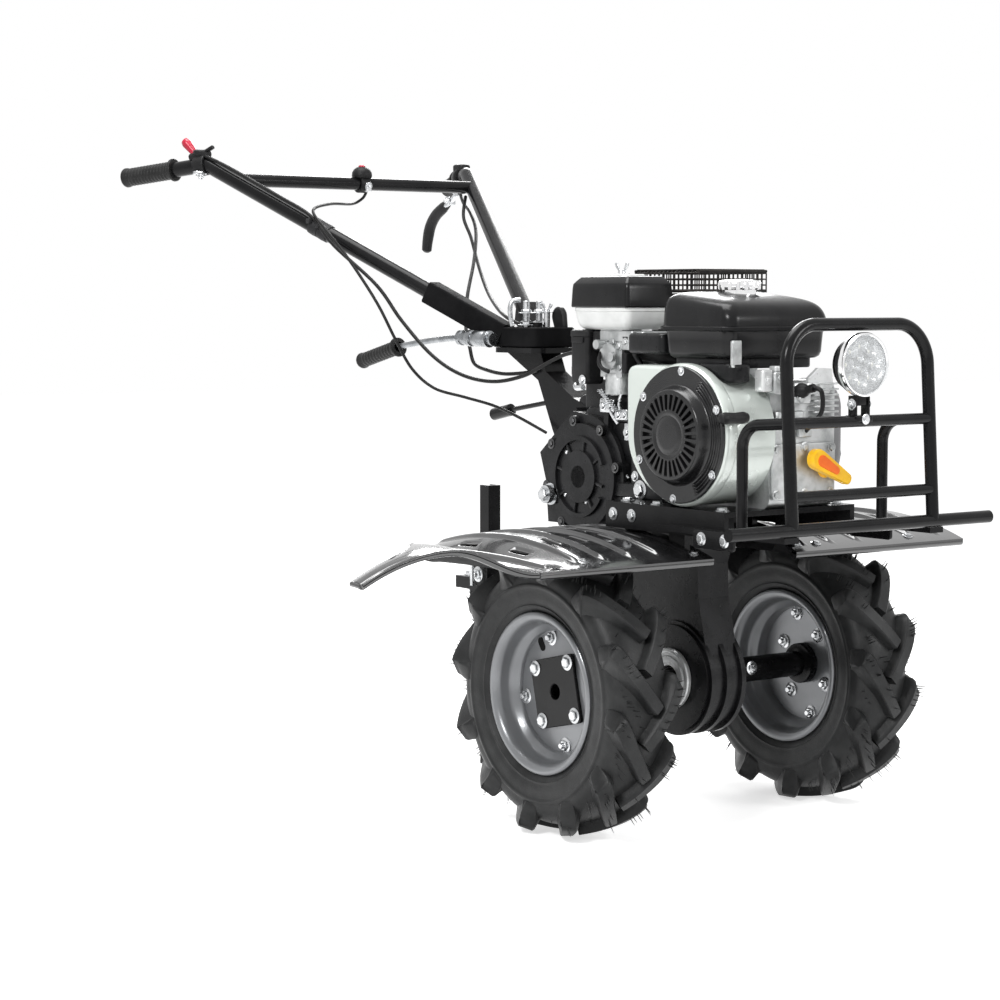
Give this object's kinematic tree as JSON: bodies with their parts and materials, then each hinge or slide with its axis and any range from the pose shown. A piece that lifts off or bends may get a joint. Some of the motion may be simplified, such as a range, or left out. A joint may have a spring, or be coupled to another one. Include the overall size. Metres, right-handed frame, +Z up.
{
  "type": "two-wheeled power tiller",
  "caption": "Walk-behind power tiller with a petrol engine on a gear case, pneumatic drive wheels, mudguards, front bumper with lamp, drag stake and a swivelling handlebar.",
  "frame": {"origin": "middle of the bounding box, on the ground", "axes": "+X forward, +Y to the machine's left, +Z up"},
  "size_m": [1.486, 1.106, 1.0469],
  "materials": {
    "tyre": "dusty black rubber",
    "rim_grey": "silver grey paint",
    "black_paint": "satin black paint",
    "case_black": "black painted casting",
    "steel": "zinc plated steel",
    "engine_alloy": "raw casting",
    "shroud_grey": "pale grey-green paint",
    "black_plastic": "matt black",
    "tank_black": "gloss black",
    "cap_chrome": "polished",
    "cleaner_grey": "pale grey",
    "muffler_dark": "heat-proof dark paint",
    "dipstick_yellow": "yellow-orange",
    "belt_grey": "mid grey",
    "lens_clear": "clear ribbed",
    "grip_rubber": "moulded black",
    "red_plastic": "red",
    "cable_black": "black sheath"
  },
  "bodies": {
    "chassis": {"gear_case": "case_black", "case_cover": "case_black", "case_plug": "steel", "axle_seal": "steel", "engine_bed": "black_paint", "engine_block": "engine_alloy", "fan_shroud": "shroud_grey", "recoil_starter": "black_plastic", "starter_grip": "black_plastic", "fuel_tank": "tank_black", "fuel_cap": "cap_chrome", "air_cleaner_base": "cleaner_grey", "air_cleaner_cover": "tank_black", "carburettor": "engine_alloy", "choke_box": "black_plastic", "muffler": "muffler_dark", "muffler_guard": "muffler_dark", "oil_dipstick": "dipstick_yellow", "belt_guard": "belt_grey", "handle_column": "black_paint", "column_head": "black_paint", "shift_rod": "black_paint", "mudguard_right": "black_paint", "mudguard_left": "black_paint", "mudguard_flap": "black_paint", "mudguard_stays": "black_paint", "bumper": "black_paint", "lamp_bracket": "black_paint", "lamp_body": "black_plastic", "lamp_lens": "lens_clear", "hitch": "black_paint", "throttle_cable": "cable_black", "switch_wire": "cable_black", "clutch_cable": "cable_black"},
    "wheelset": {"tyre_right": "tyre", "tyre_left": "tyre", "rim_right": "rim_grey", "rim_left": "rim_grey", "hub_right": "black_paint", "hub_left": "black_paint", "axle": "steel"},
    "stake": {"drag_stake": "black_paint"},
    "handlebar": {"handlebar_base": "black_paint", "clamp_nut": "steel", "handlebar_frame": "black_paint", "grip_right": "grip_rubber", "grip_left": "grip_rubber", "throttle_lever": "red_plastic", "stop_switch": "black_plastic", "clutch_lever": "black_plastic", "gear_lever": "steel", "gear_grip": "grip_rubber", "swivel_cable": "cable_black"}
  },
  "joints": [
    {"name": "axle_spin", "type": "hinge", "parent": "chassis", "child": "wheelset", "pos_m": [0.366, 0.123, 0.207], "axis": [0, 1, 0], "continuous": true},
    {"name": "handlebar_swivel", "type": "hinge", "parent": "chassis", "child": "handlebar", "pos_m": [-0.004, 0.123, 0.692], "axis": [0, 0, 1], "range_deg": [-30, 30], "deforming": ["throttle_cable", "switch_wire", "clutch_cable"]},
    {"name": "stake_slide", "type": "slide", "parent": "chassis", "child": "stake", "axis": [0, 0, 1], "range_m": [0, 0.08]}
  ]
}
